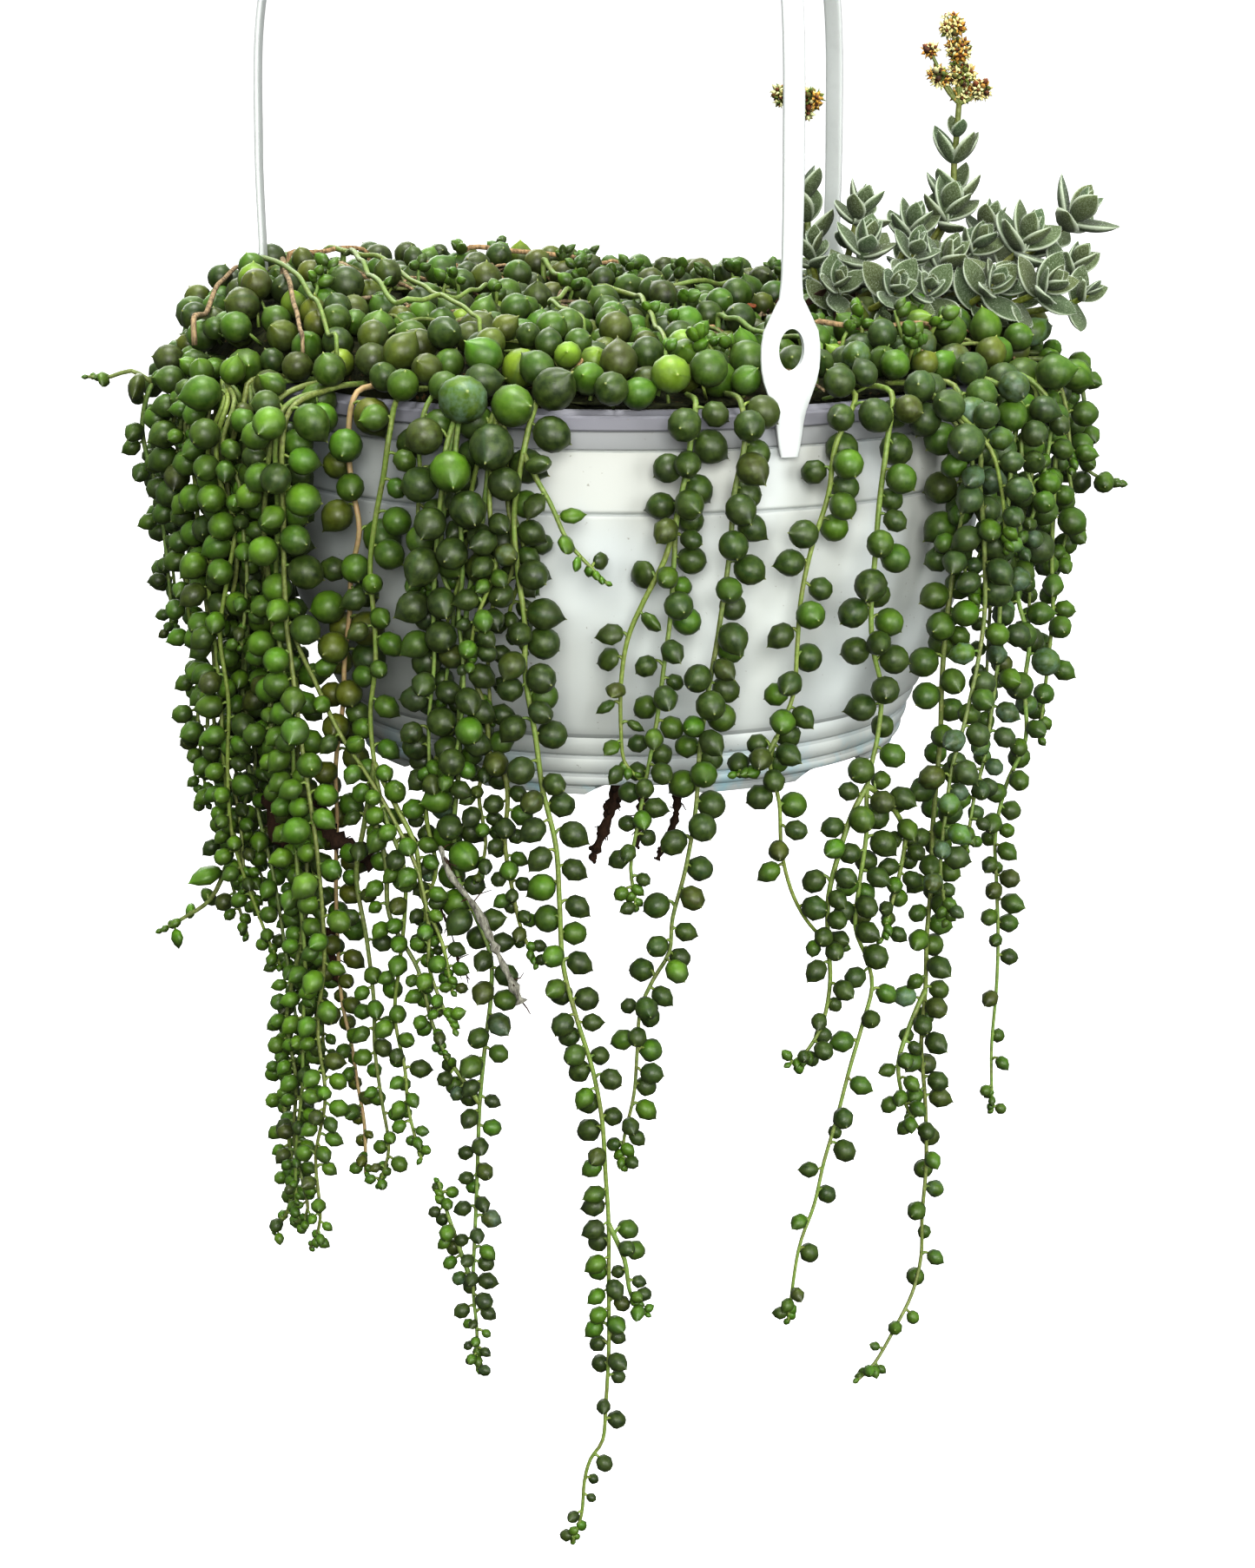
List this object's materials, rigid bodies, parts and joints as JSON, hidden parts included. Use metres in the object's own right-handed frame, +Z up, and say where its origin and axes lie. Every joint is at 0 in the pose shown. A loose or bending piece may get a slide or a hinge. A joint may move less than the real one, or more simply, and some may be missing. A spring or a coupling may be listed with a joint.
{
  "type": "potted string of pearls",
  "caption": "Trailing string of pearls in a white hanging bowl with a three-arm plastic hanger, and a small grey-green crassula in flower.",
  "frame": {"origin": "where the hook bears on what it hangs from, the top of the inside of the hook", "axes": "+Z up along the pot's axis, -Y towards the front with the longest strings, +X to the front's right"},
  "size_m": [0.3627, 0.2978, 0.7224],
  "materials": {
    "pot_plastic": "satin white",
    "hanger_plastic": "satin white",
    "soil": "crumbly soil",
    "pearl": "waxy leaf",
    "vine": "waxy leaf",
    "crassula_leaf": "velvety leaf",
    "flower": "matt petals",
    "root": "dry root"
  },
  "bodies": {
    "root": {"crassula_1": "crassula_leaf", "crassula_2": "crassula_leaf", "crassula_3": "crassula_leaf", "drain_roots": "root", "flower_stalk_1": "flower", "flower_stalk_2": "flower", "hanger_arm_1": "hanger_plastic", "hanger_arm_2": "hanger_plastic", "hanger_arm_3": "hanger_plastic", "hanger_hook": "hanger_plastic", "pearl_mat": "pearl", "pot": "pot_plastic", "soil": "soil", "string_01": "vine", "string_02": "vine", "string_03": "vine", "string_04": "vine", "string_05": "vine", "string_06": "vine", "string_07": "vine", "string_08": "vine", "string_09": "vine", "string_10": "vine", "string_11": "vine", "string_12": "vine", "string_13": "vine", "string_14": "vine", "string_15": "vine", "string_16": "vine", "string_17": "vine", "string_18": "vine", "string_19": "vine", "string_20": "vine", "string_21": "vine", "string_22": "vine", "string_23": "vine", "string_24": "vine", "string_25": "vine", "string_26": "vine", "string_27": "vine", "string_28": "vine", "string_29": "vine", "string_30": "vine", "string_31": "vine", "string_32": "vine", "string_33": "vine", "string_34": "vine", "string_35": "vine", "string_36": "vine", "string_37": "vine", "string_38": "vine"}
  },
  "joints": []
}
